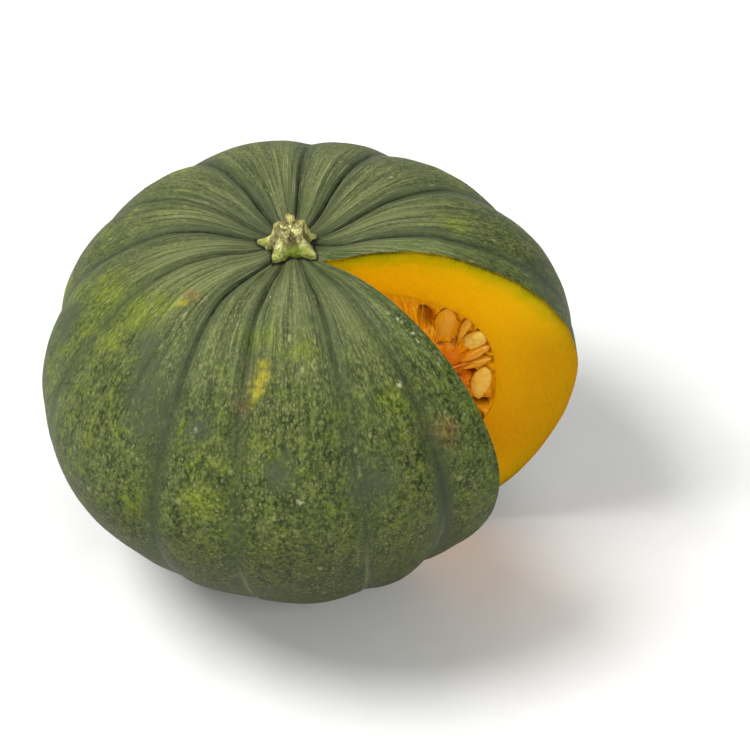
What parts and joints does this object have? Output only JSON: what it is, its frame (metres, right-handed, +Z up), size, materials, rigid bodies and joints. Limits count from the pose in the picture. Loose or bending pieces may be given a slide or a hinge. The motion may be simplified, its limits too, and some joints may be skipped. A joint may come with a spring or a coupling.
{
  "type": "kabocha squash",
  "caption": "Whole kabocha squash with one wedge cut out, showing amber flesh and the seed hollow, with its ribbed green rind and short corky stem.",
  "frame": {"origin": "centre of the bounding box's bottom face, on the surface the squash rests on", "axes": "+Z up, through the stem; +X out along the middle of the missing wedge, so the mouth of the cut faces +X; +Y to the left of the cut, across the widest part"},
  "size_m": [0.2088, 0.2292, 0.1398],
  "materials": {
    "fruit": "satin",
    "stem": "matt",
    "seed_pulp": "wet"
  },
  "bodies": {
    "root": {"fruit": "fruit", "stem": "stem", "seed_pulp": "seed_pulp"}
  },
  "joints": []
}
